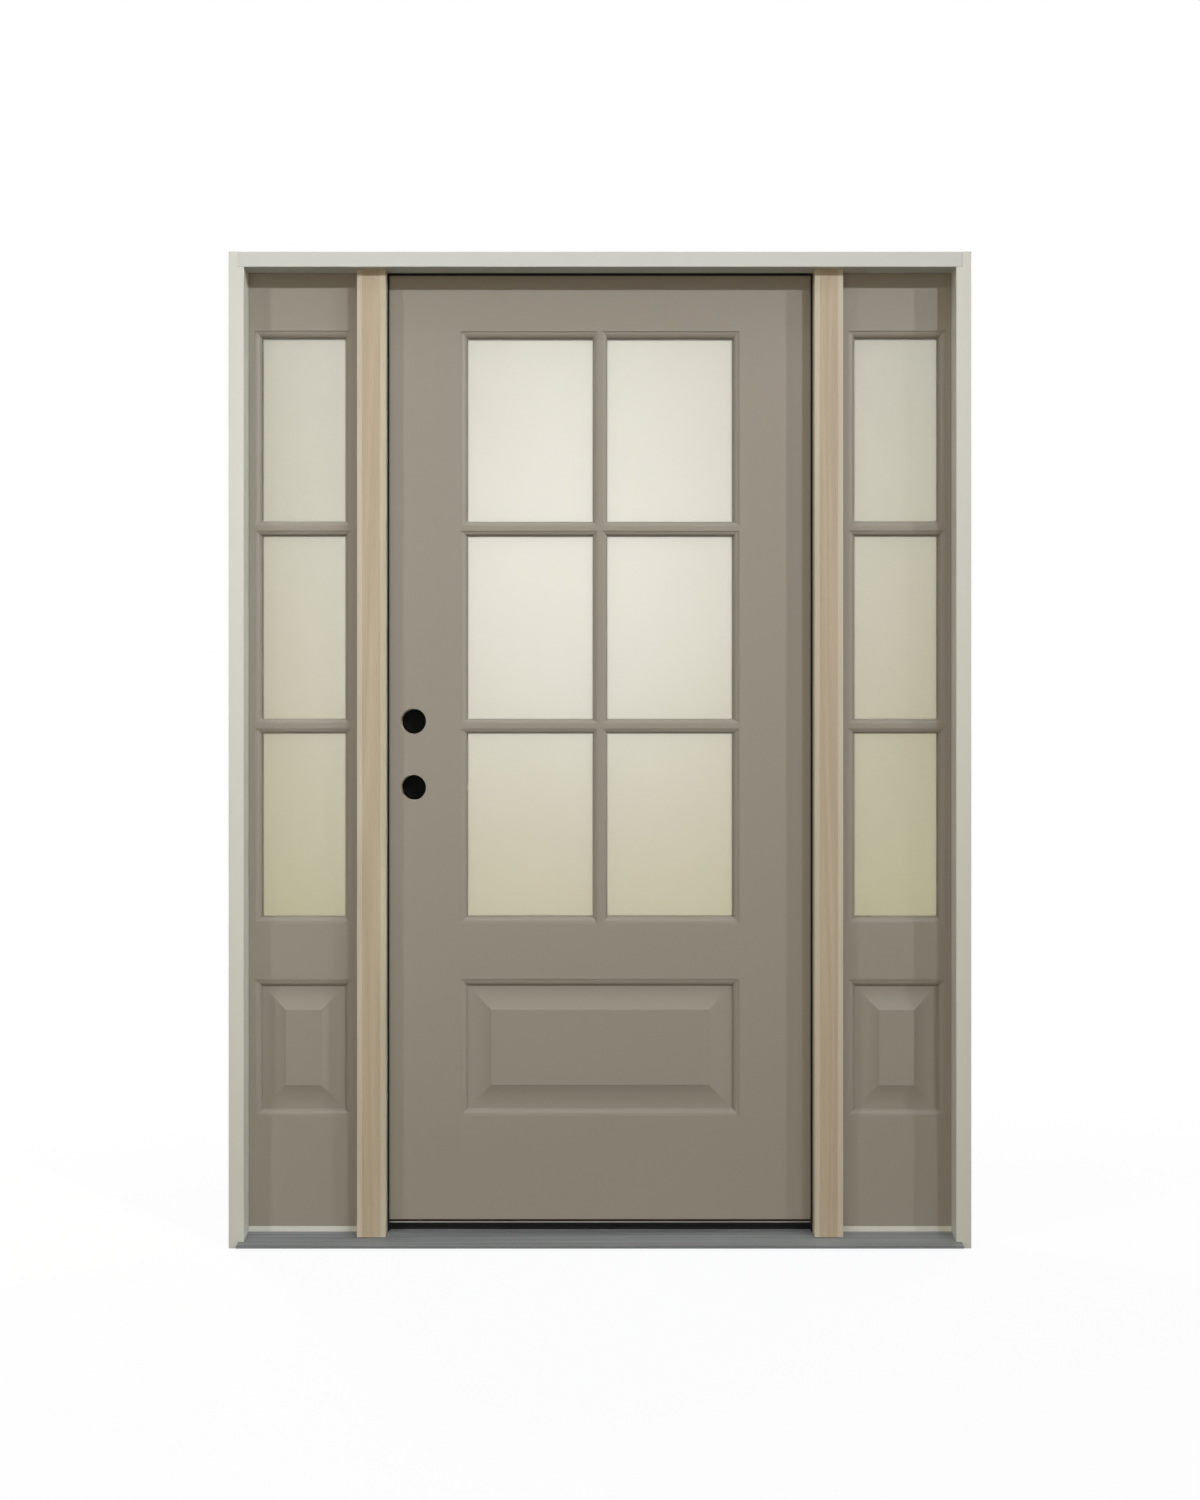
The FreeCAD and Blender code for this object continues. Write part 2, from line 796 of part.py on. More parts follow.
left_pieces = {
    "sidelight_stiles": group("side_stiles_solid", side_stiles),
    "sidelight_rails": group(
        "side_rails_solid", [cut(f"{r.Name}_cut", r, side_stiles) for r in side_rails]
    ),
    "sidelight_bars": group(
        "side_bars_solid", [cut(f"{b.Name}_cut", b, side_stiles) for b in side_bars]
    ),
    "sidelight_panes": panes("side_pane", [s_out], side_lite, face),
    "sidelight_panel": raised_panel("side_panel", s_out, s_in, panel_base, panel_top, face),
    "base_strip": base_strip,
}
for name, piece in left_pieces.items():
    keep(f"left_{name}", piece)
    keep(f"right_{name}", mirror(f"right_{name}_solid", piece))

# Check every feature, then write one file for each node.
doc.recompute()
for thing in doc.Objects:
    if "Invalid" in thing.State or "Error" in thing.State:
        raise RuntimeError(f"{thing.Label} did not compute: {thing.State}")
os.makedirs("parts", exist_ok=True)
for name, thing in nodes.items():
    shape = thing.Shape
    if shape.isNull() or not shape.isValid() or not shape.Solids:
        raise RuntimeError(f"{name} has no valid solid")
    shape.exportStep(f"parts/{name}.step")
    print(name, len(shape.Solids), "solids", round(shape.Volume / 1000, 1), "cm3")
print(len(nodes), "nodes")
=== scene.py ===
# %% [markdown]
# An entry door between two sidelights, as it leaves the joiner's shop: taupe paint on the leaf and the
# sidelights, white primer on the frame, bare mullion posts and satin glass. The construction comes
# ready made as a frame of named pieces in metres. This lesson gives every piece its finish, adds the
# small fittings, and sets the camera and the lamps.

# %% Load the frame
import json
import math

import bmesh
import bpy
from mathutils import Matrix, Vector


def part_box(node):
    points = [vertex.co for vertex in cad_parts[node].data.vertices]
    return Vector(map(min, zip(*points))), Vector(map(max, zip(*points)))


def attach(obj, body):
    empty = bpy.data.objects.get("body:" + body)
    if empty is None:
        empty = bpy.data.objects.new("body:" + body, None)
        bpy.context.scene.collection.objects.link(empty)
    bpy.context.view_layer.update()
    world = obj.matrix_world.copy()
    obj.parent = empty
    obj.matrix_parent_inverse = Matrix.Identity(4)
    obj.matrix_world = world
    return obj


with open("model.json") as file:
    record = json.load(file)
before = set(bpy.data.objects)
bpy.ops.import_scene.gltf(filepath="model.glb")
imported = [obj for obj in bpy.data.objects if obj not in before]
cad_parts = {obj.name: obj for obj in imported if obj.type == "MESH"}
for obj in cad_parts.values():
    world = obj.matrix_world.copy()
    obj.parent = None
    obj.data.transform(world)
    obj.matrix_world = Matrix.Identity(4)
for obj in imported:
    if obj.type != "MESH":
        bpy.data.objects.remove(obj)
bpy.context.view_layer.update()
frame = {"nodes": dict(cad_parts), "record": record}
MM = 0.001
scene = bpy.context.scene
print("pieces in the frame:", len(frame["nodes"]))

# %% [markdown]
# The photograph looks at the unit square on. The front of the frame shows how wide the near edges are,
# and the door, deeper in the frame, shows how quickly things shrink with depth. Together they give a
# distance of under five metres and a lens a little longer than normal. A plain camera at half the
# unit's height does the rest, so nothing is shifted or tilted.

# %% Camera
CAMERA_DISTANCE = 4.75
CAMERA_LENS = 54.9
SENSOR_WIDTH = 36.0
jamb_low, jamb_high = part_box("left_jamb")
frame_front = jamb_low.y
frame_height = jamb_high.z
camera_data = bpy.data.cameras.new("camera")
camera_data.lens = CAMERA_LENS
camera_data.sensor_width = SENSOR_WIDTH
camera = bpy.data.objects.new("camera", camera_data)
camera.location = (0.0, frame_front - CAMERA_DISTANCE, frame_height / 2)
camera.rotation_euler = (math.radians(90), 0.0, 0.0)
scene.collection.objects.link(camera)
scene.camera = camera
scene.view_settings.view_transform = "Standard"
print("camera at", [round(v, 3) for v in camera.location])

# %% [markdown]
# Every finish below is a tree of shader nodes. Short helpers keep the trees readable. One adds a node,
# sets its options and joins its inputs. One starts a material and hands back its main shader. The
# others wrap the nodes that come back most often. All patterns read Object coordinates, and every
# piece sits at the origin, so one metre in the pattern is one metre on the door.


# %% Helpers that build a tree
def add(tree, kind, inputs=None, **options):
    made = tree.nodes.new(kind)
    for name, value in options.items():
        setattr(made, name, value)
    for name, value in (inputs or {}).items():
        if isinstance(value, bpy.types.NodeSocket):
            tree.links.new(value, made.inputs[name])
        else:
            made.inputs[name].default_value = value
    return made


def new_finish(name):
    material = bpy.data.materials.new(name)
    material.use_nodes = True
    tree = material.node_tree
    shader = tree.nodes["Principled BSDF"]
    place = add(tree, "ShaderNodeTexCoord").outputs["Object"]
    return material, tree, shader, place


def dress(tree, shader, colour, roughness, normal):
    tree.links.new(colour, shader.inputs["Base Color"])
    tree.links.new(roughness, shader.inputs["Roughness"])
    tree.links.new(normal, shader.inputs["Normal"])


def put_on(material, *names):
    for name in names:
        slots = frame["nodes"][name].data.materials
        slots.clear()
        slots.append(material)


print("helpers that build a tree: ready")

# %% [markdown]
# A pattern starts as noise, is drawn out along the grain, and is then spread over the range of values
# that it should move between. The Mix node has sockets for every kind of data, so those for colours
# are picked by their place in the list. Map Range holds its result inside the new range, which keeps
# a tone from running away.


# %% Helpers for patterns
def math_node(tree, operation, first, second=0.0):
    made = add(tree, "ShaderNodeMath", {0: first, 1: second}, operation=operation)
    return made.outputs[0]


def vector_node(tree, operation, inputs):
    return add(tree, "ShaderNodeVectorMath", inputs, operation=operation).outputs


def spread(tree, value, low, high, from_low=0.0, from_high=1.0):
    made = add(
        tree,
        "ShaderNodeMapRange",
        {"Value": value, "From Min": from_low, "From Max": from_high, "To Min": low, "To Max": high},
    )
    return made.outputs[0]


def sway(tree, value, span, middle=0.0):
    return spread(tree, value, middle - span, middle + span)


MIX_FACTOR = 0
COLOUR_FIRST = 6
COLOUR_SECOND = 7
COLOUR_RESULT = 2


def blend_colours(tree, mask, first, second):
    sockets = {MIX_FACTOR: mask, COLOUR_FIRST: first, COLOUR_SECOND: second}
    return add(tree, "ShaderNodeMix", sockets, data_type="RGBA").outputs[COLOUR_RESULT]


def noise(tree, place, scale, detail=3.0, roughness=0.55):
    made = add(
        tree,
        "ShaderNodeTexNoise",
        {"Vector": place, "Scale": scale, "Detail": detail, "Roughness": roughness},
    )
    return made.outputs[0]


def stretched(tree, place, factors, turn=(0.0, 0.0, 0.0)):
    made = add(tree, "ShaderNodeMapping", {"Vector": place, "Scale": factors, "Rotation": turn})
    return made.outputs[0]


def grain(tree, place, squeeze, scale, detail=3.0):
    return noise(tree, stretched(tree, place, (1.0, 1.0, squeeze)), scale, detail)


def distance_from(tree, place, centre, factors):
    offset = vector_node(tree, "SUBTRACT", {0: place, 1: centre})[0]
    weighted = vector_node(tree, "MULTIPLY", {0: offset, 1: factors})[0]
    return vector_node(tree, "LENGTH", {0: weighted})["Value"]


def height_of(tree, place):
    return add(tree, "ShaderNodeSeparateXYZ", {0: place}).outputs["Z"]


def tinted(colour, factor):
    return (*[channel * factor for channel in colour], 1.0)


print("helpers for patterns: ready")

# %% [markdown]
# Sprayed paint is never one flat colour. It has slow drifts of tone, a fine orange peel, and faint
# marks along the length of the board from the sanding below. All painted pieces share those effects,
# so they are one node group with a vector in and three plain values out: the tone, the gloss and the
# height of the film.

# %% Group: paint film
DRIFT_SCALE = 2.2
DRIFT_SPAN = 0.045
MOTTLE_SCALE = 45.0
MOTTLE_SPAN = 0.03
GLOSS_SPAN = 0.07
SANDING_SCALE = 420.0
SANDING_SQUEEZE = 0.02
SANDING_SPAN = 0.012
PEEL_SCALE = 1100.0
PEEL_SHARE = 0.55


def new_group(name, outputs):
    group = bpy.data.node_groups.new(name, "ShaderNodeTree")
    group.interface.new_socket("Vector", in_out="INPUT", socket_type="NodeSocketVector")
    for label in outputs:
        group.interface.new_socket(label, in_out="OUTPUT", socket_type="NodeSocketFloat")
    entry = group.nodes.new("NodeGroupInput")
    leave = group.nodes.new("NodeGroupOutput")
    return group, entry.outputs["Vector"], leave


def use_group(tree, group, place):
    return add(tree, "ShaderNodeGroup", {"Vector": place}, node_tree=group).outputs


def paint_film_group():
    group, place, leave = new_group("paint_film", ("Tone", "Gloss", "Height"))
    drift = noise(group, place, DRIFT_SCALE)
    mottle = noise(group, place, MOTTLE_SCALE, detail=4.0, roughness=0.6)
    sanding = grain(group, place, SANDING_SQUEEZE, SANDING_SCALE)
    peel = noise(group, place, PEEL_SCALE, detail=2.0)
    tone = sway(group, drift, DRIFT_SPAN, 1.0)
    tone = math_node(group, "ADD", tone, sway(group, mottle, MOTTLE_SPAN))
    tone = math_node(group, "ADD", tone, sway(group, sanding, SANDING_SPAN))
    height = math_node(group, "ADD", math_node(group, "MULTIPLY", peel, PEEL_SHARE), sanding)
    group.links.new(tone, leave.inputs["Tone"])
    group.links.new(sway(group, mottle, GLOSS_SPAN), leave.inputs["Gloss"])
    group.links.new(height, leave.inputs["Height"])
    return group


PAINT_FILM = paint_film_group()
print("group:", PAINT_FILM.name)

# %% [markdown]
# The leaf and the sidelights carry a satin taupe paint. Stiles run up and rails run across, so the
# sanding marks turn with the piece: a Mapping node lays the same film along X for the rails. The film
# only darkens the colour, so its tone is held at one. A Bevel node rounds the sharp edges in the
# shading only, which is how a brushed film softens an arris.

# %% Finish: taupe paint
ALONG_Z = (0.0, 0.0, 0.0)
ALONG_X = (0.0, math.radians(90), 0.0)
UNSTRETCHED = (1.0, 1.0, 1.0)
EDGE_ROUNDING = 0.15 * MM
EDGE_SAMPLES = 4
SURFACE_STRENGTH = 0.5


def rounded_bump(tree, height, depth):
    rounded = add(tree, "ShaderNodeBevel", {"Radius": EDGE_ROUNDING}, samples=EDGE_SAMPLES)
    relief = {"Height": height, "Distance": depth, "Strength": SURFACE_STRENGTH}
    return add(tree, "ShaderNodeBump", {**relief, "Normal": rounded.outputs[0]}).outputs[0]


def painted(name, colour, along, roughness, peel_depth):
    material, tree, shader, place = new_finish(name)
    film = use_group(tree, PAINT_FILM, stretched(tree, place, UNSTRETCHED, along))
    tone = math_node(tree, "MINIMUM", film["Tone"], 1.0)
    shaded = vector_node(tree, "SCALE", {0: colour, "Scale": tone})[0]
    rough = math_node(tree, "ADD", film["Gloss"], roughness)
    dress(tree, shader, shaded, rough, rounded_bump(tree, film["Height"], peel_depth))
    return material, tree, shader, place


TAUPE = (0.315, 0.288, 0.240)
TAUPE_ROUGHNESS = 0.46
TAUPE_PEEL = 0.05 * MM


def taupe(name, along):
    return painted(name, TAUPE, along, TAUPE_ROUGHNESS, TAUPE_PEEL)


taupe_up = taupe("taupe_paint_up", ALONG_Z)[0]
taupe_across = taupe("taupe_paint_across", ALONG_X)[0]
put_on(taupe_up, "hinge_stile", "upright_bar")
put_on(taupe_across, "top_rail", "middle_rail", "bottom_rail", "cross_bars", "door_panel")
for side in ("left", "right"):
    put_on(taupe_up, f"{side}_sidelight_stiles", f"{side}_sidelight_panel")
    put_on(taupe_across, f"{side}_sidelight_rails", f"{side}_sidelight_bars")
print("painted taupe:", taupe_up.name, taupe_across.name)

# %% [markdown]
# The lock stile was bored after it was painted, so the walls of its holes are bare wood. One could
# split the mesh and give the walls a material of their own, but the piece must stay as it is. A mask
# does it instead: whatever lies within a bore's radius of its axis is wood. The large bores run along
# Y through the faces, and the small ones along X from the edge.

# %% Finish: lock stile with bare bores
BORE_WOOD_DARK = (0.58, 0.45, 0.32, 1.0)
BORE_WOOD_LIGHT = (0.74, 0.62, 0.48, 1.0)
BORE_FIBRE_SQUEEZE = 0.05
BORE_FIBRE_SCALE = 500.0
BORE_TOLERANCE = 0.15 * MM
EDGE_BORE_RADIUS = 12.7 * MM
AROUND_Y = (1.0, 0.0, 1.0)
AROUND_X = (0.0, 1.0, 1.0)
lock_bores = [mount for mount in frame["record"]["mounts"] if mount["kind"] == "bore"]


def near_axis(tree, place, centre, around, radius):
    reach = distance_from(tree, place, centre, around)
    return math_node(tree, "LESS_THAN", reach, radius + BORE_TOLERANCE)


def bored_stile():
    material, tree, shader, place = taupe("taupe_paint_bored", ALONG_Z)
    paint = shader.inputs["Base Color"].links[0].from_socket
    mask = 0.0
    for bore in lock_bores:
        face_bore = near_axis(tree, place, bore["pos_m"], AROUND_Y, bore["dims"]["r_mm"] * MM)
        edge_bore = near_axis(tree, place, bore["pos_m"], AROUND_X, EDGE_BORE_RADIUS)
        mask = math_node(tree, "MAXIMUM", mask, face_bore)
        mask = math_node(tree, "MAXIMUM", mask, edge_bore)
    fibres = grain(tree, place, BORE_FIBRE_SQUEEZE, BORE_FIBRE_SCALE)
    wood = blend_colours(tree, fibres, BORE_WOOD_DARK, BORE_WOOD_LIGHT)
    tree.links.new(blend_colours(tree, mask, paint, wood), shader.inputs["Base Color"])
    return material


put_on(bored_stile(), "lock_stile")
print("lock bores:", [bore["name"] for bore in lock_bores])

# %% [markdown]
# The frame is machined from solid stock and primed white. Primer is duller than paint, soaks in
# unevenly and leaves a little of the grain showing along the board. The head and the two base strips
# are a shade darker than the jambs, as they are in the photograph.

# %% Finish: white primer
PRIMER_JAMB = (0.718, 0.722, 0.662)
# The head and base-strip colours are darker copies of the jamb primer: painted shade.
PRIMER_BASE_PAINTED_SHADE = (0.690, 0.695, 0.635)
PRIMER_HEAD_PAINTED_SHADE = (0.645, 0.657, 0.625)
PRIMER_ROUGHNESS = 0.58
PRIMER_PEEL = 0.07 * MM
primed_pieces = (
    ("frame_primer_up", PRIMER_JAMB, ALONG_Z, ("left_jamb", "right_jamb")),
    ("frame_primer_base_painted_shade", PRIMER_BASE_PAINTED_SHADE, ALONG_X, ("left_base_strip", "right_base_strip")),
    ("frame_primer_head_painted_shade", PRIMER_HEAD_PAINTED_SHADE, ALONG_X, ("head_jamb",)),
)
for name, colour, along, pieces in primed_pieces:
    put_on(painted(name, colour, along, PRIMER_ROUGHNESS, PRIMER_PEEL)[0], *pieces)
    print("primed:", *pieces)

# %% [markdown]
# The mullion posts are bare light wood. Their figure is drawn as long growth bands, made by stretching
# noise along the grain and using it to bend a set of rings, with fine fibres and dark pores on top.
# The posts and their stop strips both need it, so it is a node group as well.

# %% Group: wood figure
GROWTH_SQUEEZE = 0.035
GROWTH_SCALE = 9.0
RING_RADIANS = 70.0
RING_SHARE = 0.55
PATCH_SQUEEZE = 0.12
PATCH_SCALE = 26.0
FIBRE_SQUEEZE = 0.012
FIBRE_SCALE = 620.0
PORE_SQUEEZE = 0.03
PORE_SCALE = 900.0
PORE_FROM = 0.62
PORE_FULL = 0.72


def wood_figure_group():
    group, place, leave = new_group("wood_figure", ("Bands", "Fibres", "Pores"))
    bend = grain(group, place, GROWTH_SQUEEZE, GROWTH_SCALE, detail=2.0)
    rings = math_node(group, "SINE", math_node(group, "MULTIPLY", bend, RING_RADIANS))
    patches = grain(group, place, PATCH_SQUEEZE, PATCH_SCALE)
    ring_part = spread(group, rings, 0.0, RING_SHARE, -1.0, 1.0)
    patch_part = spread(group, patches, 0.0, 1.0 - RING_SHARE)
    fibres = grain(group, place, FIBRE_SQUEEZE, FIBRE_SCALE)
    pores = grain(group, place, PORE_SQUEEZE, PORE_SCALE, detail=1.0)
    group.links.new(math_node(group, "ADD", ring_part, patch_part), leave.inputs["Bands"])
    group.links.new(fibres, leave.inputs["Fibres"])
    group.links.new(spread(group, pores, 0.0, 1.0, PORE_FROM, PORE_FULL), leave.inputs["Pores"])
    return group


WOOD_FIGURE = wood_figure_group()
print("group:", WOOD_FIGURE.name)

# %% [markdown]
# The core of a post and its stop strips come from different boards, so they share the figure but not
# the colours. Each board has a dark and a light band colour and a blush, the faint pink or tan that
# drifts through pale wood in long patches.

# %% Finish: bare post wood
BLUSH_SQUEEZE = 0.2
BLUSH_SCALE = 7.0
BLUSH_FROM = 0.42
BLUSH_FULL = 0.68
BLUSH_STRENGTH = 0.4
FIBRE_DARK = 0.86
FIBRE_LIGHT = 1.11
PORE_DEPTH = 0.14
FIBRE_RELIEF = 0.06 * MM
WOOD_SMOOTH = 0.55
WOOD_ROUGH = 0.72


def bare_wood(name, dark, light, blush):
    material, tree, shader, place = new_finish(name)
    figure = use_group(tree, WOOD_FIGURE, place)
    base = blend_colours(tree, figure["Bands"], (*dark, 1.0), (*light, 1.0))
    patches = grain(tree, place, BLUSH_SQUEEZE, BLUSH_SCALE)
    tinge = spread(tree, patches, 0.0, 1.0, BLUSH_FROM, BLUSH_FULL)
    base = blend_colours(tree, math_node(tree, "MULTIPLY", tinge, BLUSH_STRENGTH), base, (*blush, 1.0))
    fine = spread(tree, figure["Fibres"], FIBRE_DARK, FIBRE_LIGHT)
    pores = math_node(tree, "MULTIPLY", figure["Pores"], PORE_DEPTH)
    shaded = vector_node(tree, "SCALE", {0: base, "Scale": math_node(tree, "SUBTRACT", fine, pores)})[0]
    rough = spread(tree, figure["Fibres"], WOOD_SMOOTH, WOOD_ROUGH)
    dress(tree, shader, shaded, rough, rounded_bump(tree, figure["Fibres"], FIBRE_RELIEF))
    return material


core_wood = bare_wood(
    "post_wood", dark=(0.460, 0.381, 0.265), light=(0.570, 0.482, 0.347), blush=(0.523, 0.406, 0.289)
)
stop_wood = bare_wood(
    "stop_wood", dark=(0.545, 0.489, 0.376), light=(0.643, 0.586, 0.464), blush=(0.615, 0.510, 0.410)
)
put_on(core_wood, "left_post", "right_post")
put_on(stop_wood, "left_post_stops", "right_post_stops")
print("bare wood:", core_wood.name, stop_wood.name)

# %% [markdown]
# The panes are satin glass: light passes, shapes don't. Most of that is transmission through a finely
# rough surface, which shows the pale room behind, and the rest is the milky etched skin that catches
# the lamps. The light of the room behind is also painted into the colour: a painted glow, pale behind
# the middle of the door, and painted shade, darker and warmer further out and warmest low down.

# %% Finish: satin glass
GLOW_CENTRE = (-0.05, 0.0, 1.50)
GLOW_REACH = 1.0
GLOW_SHAPE = (1.0, 0.0, 0.8)
GLASS_PAINTED_GLOW = (1.0, 0.983, 0.932, 1.0)
GLASS_HIGH_PAINTED_SHADE = (0.780, 0.770, 0.697, 1.0)
GLASS_LOW_PAINTED_SHADE = (0.776, 0.746, 0.594, 1.0)
LOW_PANES = 0.7
HIGH_PANES = 1.9
TINT_DRIFT_SCALE = 1.6
TINT_DRIFT = 0.10
ETCH_SCALE = 1500.0
ETCH_RELIEF = 0.02 * MM
ETCH_STRENGTH = 0.35
ETCH_SMOOTH = 0.14
ETCH_ROUGH = 0.24
GLASS_CLEAR = 0.85
GLASS_IOR = 1.45


def satin_glass(name):
    material, tree, shader, place = new_finish(name)
    # Painted light: the glass colour is a painted glow around the door's middle, fading to painted shade
    # further out and low down.
    reach = distance_from(tree, place, GLOW_CENTRE, GLOW_SHAPE)
    fade = {"Value": reach, "From Min": GLOW_REACH, "From Max": 0.0}
    glow = add(tree, "ShaderNodeMapRange", fade, interpolation_type="SMOOTHSTEP").outputs[0]
    drift = sway(tree, noise(tree, place, TINT_DRIFT_SCALE, detail=2.0), TINT_DRIFT)
    level = spread(tree, height_of(tree, place), 0.0, 1.0, LOW_PANES, HIGH_PANES)
    outer_painted_shade = blend_colours(tree, level, GLASS_LOW_PAINTED_SHADE, GLASS_HIGH_PAINTED_SHADE)
    glass_colour_with_painted_light = blend_colours(tree, math_node(tree, "ADD", glow, drift), outer_painted_shade, GLASS_PAINTED_GLOW)
    etch = noise(tree, place, ETCH_SCALE, detail=2.0)
    relief = {"Height": etch, "Distance": ETCH_RELIEF, "Strength": ETCH_STRENGTH}
    bump = add(tree, "ShaderNodeBump", relief).outputs[0]
    dress(tree, shader, glass_colour_with_painted_light, spread(tree, etch, ETCH_SMOOTH, ETCH_ROUGH), bump)
    shader.inputs["Transmission Weight"].default_value = GLASS_CLEAR
    shader.inputs["IOR"].default_value = GLASS_IOR
    return material


pane_glass = satin_glass("satin_glass")
put_on(pane_glass, "door_panes", "left_sidelight_panes", "right_sidelight_panes")
print("satin glass on the door and the sidelights:", pane_glass.name)

# %% [markdown]
# Seals are black: foam weatherstrip around the doorway and a rubber dam under the leaf. The sweep is
# dark brown vinyl, and the core of the sill a grey composite. All of them are dull, with a faint grain
# from the extruder along their length and a little dust.

# %% Finish: seals and composite
DIE_SQUEEZE = 0.01
DIE_SCALE = 900.0
DIE_RELIEF = 0.08 * MM
DIE_STRENGTH = 0.6
DUST_SCALE = 35.0
DUST_DARK = 0.7
DUST_LIGHT = 1.5
DUST_ROUGHNESS = 0.08
DULL_SHINE = 0.12


def extruded(name, colour, roughness, along):
    material, tree, shader, place = new_finish(name)
    turned = stretched(tree, place, (1.0, 1.0, DIE_SQUEEZE), along)
    lines = noise(tree, turned, DIE_SCALE, detail=2.0)
    dust = noise(tree, place, DUST_SCALE, detail=4.0)
    tone = blend_colours(tree, dust, tinted(colour, DUST_DARK), tinted(colour, DUST_LIGHT))
    relief = {"Height": lines, "Distance": DIE_RELIEF, "Strength": DIE_STRENGTH}
    bump = add(tree, "ShaderNodeBump", relief).outputs[0]
    dress(tree, shader, tone, sway(tree, dust, DUST_ROUGHNESS, roughness), bump)
    shader.inputs["Specular IOR Level"].default_value = DULL_SHINE
    return material


extruded_pieces = (
    ("black_foam", (0.013, 0.013, 0.012), 0.8, ALONG_Z, ("left_weatherstrip", "right_weatherstrip")),
    ("black_rubber", (0.0105, 0.011, 0.011), 0.8, ALONG_X, ("top_weatherstrip", "threshold_dam")),
    ("brown_vinyl", (0.030, 0.018, 0.012), 0.7, ALONG_X, ("door_sweep",)),
    ("sill_composite", (0.20, 0.19, 0.17), 0.8, ALONG_X, ("sill_core",)),
)
for name, colour, roughness, along, pieces in extruded_pieces:
    put_on(extruded(name, colour, roughness, along), *pieces)
    print("extruded:", *pieces)

# %% [markdown]
# The sill's deck and the threshold cap are extruded aluminium with a dull grey film, and the hinges are
# plain steel. Drawing the metal through its die leaves fine lines along its length, which is what the
# camera sees as streaks. The foot of the deck, where it turns down to the floor, is painted darker:
# painted shade.

# %% Finish: drawn metal
FINE_SQUEEZE = 0.004
FINE_SCALE = 520.0
FINE_SHARE = 0.4
BROAD_SQUEEZE = 0.012
BROAD_SCALE = 65.0
LINES_FROM = 0.34
LINES_FULL = 0.66
SCUFF_SQUEEZE = 0.25
SCUFF_SCALE = 24.0
SCUFF_STRENGTH = 0.35
SCUFF_FROM = 0.5
SCUFF_FULL = 0.8
SCUFF_POLISH = 0.07
SCUFF_MATT = 0.1
METAL_DARK = 0.62
METAL_LIGHT = 1.30
METAL_PAINTED_SHADE = 0.4
METAL_RELIEF = 0.12 * MM
FOOT_FADE = 3.5 * MM
DECK_FOOT = 6.5 * MM


def streaks(tree, place, squeeze, scale, detail, roughness=0.55):
    return noise(tree, stretched(tree, place, (squeeze, 1.0, 1.0)), scale, detail, roughness)


def drawn_metal(name, colour, metallic, roughness, shaded_foot=0.0):
    material, tree, shader, place = new_finish(name)
    fine = streaks(tree, place, FINE_SQUEEZE, FINE_SCALE, detail=3.0, roughness=0.7)
    broad = streaks(tree, place, BROAD_SQUEEZE, BROAD_SCALE, detail=2.0)
    fine_part = math_node(tree, "MULTIPLY", fine, FINE_SHARE)
    broad_part = math_node(tree, "MULTIPLY", broad, 1.0 - FINE_SHARE)
    lines = math_node(tree, "ADD", fine_part, broad_part)
    scuffs = streaks(tree, place, SCUFF_SQUEEZE, SCUFF_SCALE, detail=4.0)
    light = tinted(colour, METAL_LIGHT)
    line_mask = spread(tree, lines, 0.0, 1.0, LINES_FROM, LINES_FULL)
    tone = blend_colours(tree, line_mask, tinted(colour, METAL_DARK), light)
    scuff_mask = spread(tree, scuffs, 0.0, SCUFF_STRENGTH, SCUFF_FROM, SCUFF_FULL)
    tone = blend_colours(tree, scuff_mask, tone, light)
    # Painted shade: the metal is darkened near the floor, below the deck's foot height.
    foot = spread(tree, height_of(tree, place), 0.0, 1.0, shaded_foot + FOOT_FADE, shaded_foot)
    tone = blend_colours(tree, foot, tone, tinted(colour, METAL_PAINTED_SHADE))
    relief = {"Height": lines, "Distance": METAL_RELIEF, "Strength": DIE_STRENGTH}
    bump = add(tree, "ShaderNodeBump", relief).outputs[0]
    rough = spread(tree, scuffs, roughness - SCUFF_POLISH, roughness + SCUFF_MATT)
    dress(tree, shader, tone, rough, bump)
    shader.inputs["Metallic"].default_value = metallic
    return material


DECK_GREY = (0.290, 0.310, 0.322)
CAP_GREY = (0.60, 0.60, 0.58)
STEEL = (0.50, 0.49, 0.46)
deck_metal = drawn_metal("sill_deck_metal", DECK_GREY, metallic=0.35, roughness=0.5, shaded_foot=DECK_FOOT)
threshold_metal = drawn_metal("threshold_metal", CAP_GREY, metallic=0.35, roughness=0.5)
hinge_metal = drawn_metal("hinge_steel", STEEL, metallic=1.0, roughness=0.34)
put_on(deck_metal, "sill_deck")
put_on(threshold_metal, "threshold_cap")
put_on(hinge_metal, "hinge_door_leaves", "hinge_frame_leaves", "hinge_pins")
print("metal:", deck_metal.name, threshold_metal.name, hinge_metal.name)

# %% [markdown]
# Some fittings are too small for the construction, so they are made here with bmesh operators. Two
# helpers do what they share. One extrudes faces and lifts the new ones. The other turns a shape into a
# finished object that rides on a body of the frame, so that it moves with the door.


# %% Helpers for new pieces
def raise_faces(shape, faces, rise):
    grown = bmesh.ops.extrude_face_region(shape, geom=faces, use_keep_orig=True)["geom"]
    raised = [part for part in grown if isinstance(part, bmesh.types.BMVert)]
    bmesh.ops.translate(shape, verts=raised, vec=rise)
    return [part for part in grown if isinstance(part, bmesh.types.BMFace)]


def finished_piece(name, mesh_maker, material, body):
    mesh = bpy.data.meshes.new(name)
    shape = bmesh.new()
    mesh_maker(shape)
    bmesh.ops.recalc_face_normals(shape, faces=shape.faces)
    shape.to_mesh(mesh)
    shape.free()
    piece = bpy.data.objects.new(name, mesh)
    mesh.materials.append(material)
    scene.collection.objects.link(piece)
    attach(piece, body)
    return piece


print("helpers for new pieces: ready")

